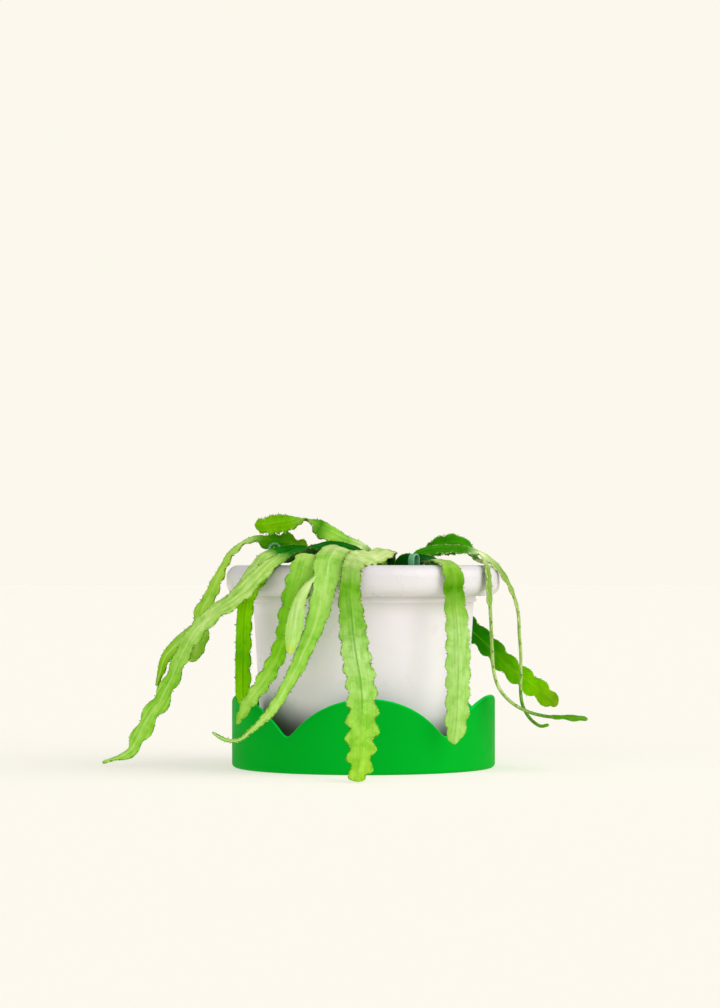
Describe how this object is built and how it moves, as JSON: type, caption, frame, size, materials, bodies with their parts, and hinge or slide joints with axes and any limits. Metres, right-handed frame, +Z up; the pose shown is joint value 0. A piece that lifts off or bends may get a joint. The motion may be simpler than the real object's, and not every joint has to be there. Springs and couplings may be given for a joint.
{
  "type": "potted fishbone cactus",
  "caption": "Trailing fishbone cactus with flat lobed stems, in a round pot with a thick rim, on a saucer with a lobed wall.",
  "frame": {"origin": "centre of the saucer's flat underside, on the surface that it stands on", "axes": "+Z up along the pot's axis, -Y towards the front, +X to the right"},
  "size_m": [0.3436, 0.2757, 0.1802],
  "materials": {
    "saucer_green": "satin",
    "pot_white": "matt, unglazed to the touch",
    "soil_brown": "loose potting soil",
    "stem_green": "waxy leaf skin, lit stems",
    "stem_deep_green": "waxy leaf skin, shaded stems",
    "pin_teal": "satin"
  },
  "bodies": {
    "root": {"saucer": "saucer_green", "pot": "pot_white", "soil": "soil_brown", "plant_pin_right": "pin_teal", "plant_pin_left": "pin_teal", "stem_arched_left": "stem_deep_green", "stem_left_rear": "stem_deep_green", "stem_left_short": "stem_green", "stem_left_long": "stem_green", "stem_left_straight": "stem_deep_green", "stem_front_narrow": "stem_green", "stem_front_broad": "stem_green", "stem_front_middle": "stem_green", "stem_front_right": "stem_green", "stem_right_outer": "stem_deep_green", "stem_right_inner": "stem_deep_green", "stem_right_rear": "stem_deep_green", "stem_back_left": "stem_green", "stem_back_right": "stem_green"}
  },
  "joints": []
}
